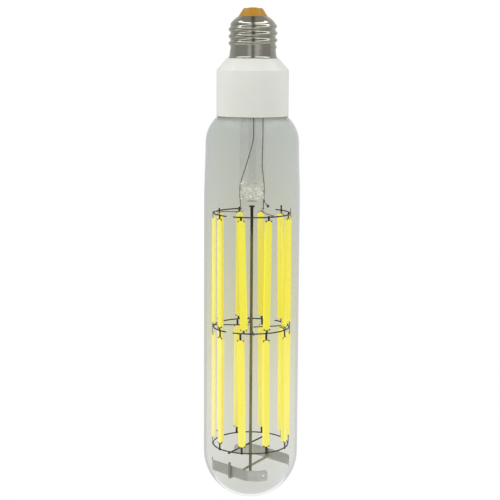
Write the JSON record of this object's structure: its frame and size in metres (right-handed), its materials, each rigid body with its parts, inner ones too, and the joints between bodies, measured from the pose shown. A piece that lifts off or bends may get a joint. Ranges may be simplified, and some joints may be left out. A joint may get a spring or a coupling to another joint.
{
  "type": "led filament bulb",
  "caption": "Tubular clear glass LED filament bulb with a screw cap, a white collar and two tiers of upright filament strips on split wire rings round a central rod.",
  "frame": {"origin": "on the axis, in the plane where the screw cap's rim meets the collar", "axes": "+Z along the axis towards the cap's centre contact, +X to the right and +Y away in the picture"},
  "size_m": [0.052, 0.052, 0.2686],
  "materials": {
    "nickel_contact": "satin",
    "orange_insulator": "gloss",
    "nickel_shell": "satin",
    "white_collar": "satin",
    "adhesive": "matt",
    "clear_glass": "gloss",
    "stem_glass": "gloss",
    "nickel_wire": "satin",
    "rod_metal": "satin",
    "spring_steel": "satin",
    "yellow_phosphor": "satin",
    "terminal_metal": "satin",
    "board_laminate": "satin",
    "black_epoxy": "satin",
    "capacitor_sleeve": "satin",
    "resistor_coat": "satin",
    "wire_sleeve": "satin",
    "getter_metal": "satin"
  },
  "bodies": {
    "root": {"bead_wires": "nickel_wire", "cap_insulator": "orange_insulator", "centre_rod": "rod_metal", "collar": "white_collar", "collar_adhesive": "adhesive", "contact_button": "nickel_contact", "driver_board": "board_laminate", "driver_chip": "black_epoxy", "exhaust_tube": "stem_glass", "filter_capacitor": "capacitor_sleeve", "fuse_resistor": "resistor_coat", "getter": "getter_metal", "glass_envelope": "clear_glass", "glass_stem": "stem_glass", "inductor": "black_epoxy", "lead_wire_left": "nickel_wire", "lead_wire_right": "nickel_wire", "leaf_spring_back": "spring_steel", "leaf_spring_front": "spring_steel", "live_wire": "wire_sleeve", "lower_bottom_terminals": "terminal_metal", "lower_filament_01": "yellow_phosphor", "lower_filament_02": "yellow_phosphor", "lower_filament_03": "yellow_phosphor", "lower_filament_04": "yellow_phosphor", "lower_filament_05": "yellow_phosphor", "lower_filament_06": "yellow_phosphor", "lower_filament_07": "yellow_phosphor", "lower_filament_08": "yellow_phosphor", "lower_filament_09": "yellow_phosphor", "lower_filament_10": "yellow_phosphor", "lower_ring": "nickel_wire", "lower_ring_spoke": "nickel_wire", "lower_top_terminals": "terminal_metal", "middle_half_ring_left": "nickel_wire", "middle_half_ring_right": "nickel_wire", "neutral_wire": "wire_sleeve", "rectifier_bridge": "black_epoxy", "rod_bead": "stem_glass", "screw_shell": "nickel_shell", "spring_carrier": "nickel_wire", "upper_bottom_terminals": "terminal_metal", "upper_filament_01": "yellow_phosphor", "upper_filament_02": "yellow_phosphor", "upper_filament_03": "yellow_phosphor", "upper_filament_04": "yellow_phosphor", "upper_filament_05": "yellow_phosphor", "upper_filament_06": "yellow_phosphor", "upper_filament_07": "yellow_phosphor", "upper_filament_08": "yellow_phosphor", "upper_filament_09": "yellow_phosphor", "upper_filament_10": "yellow_phosphor", "upper_half_ring_left": "nickel_wire", "upper_half_ring_right": "nickel_wire", "upper_top_terminals": "terminal_metal"}
  },
  "joints": []
}
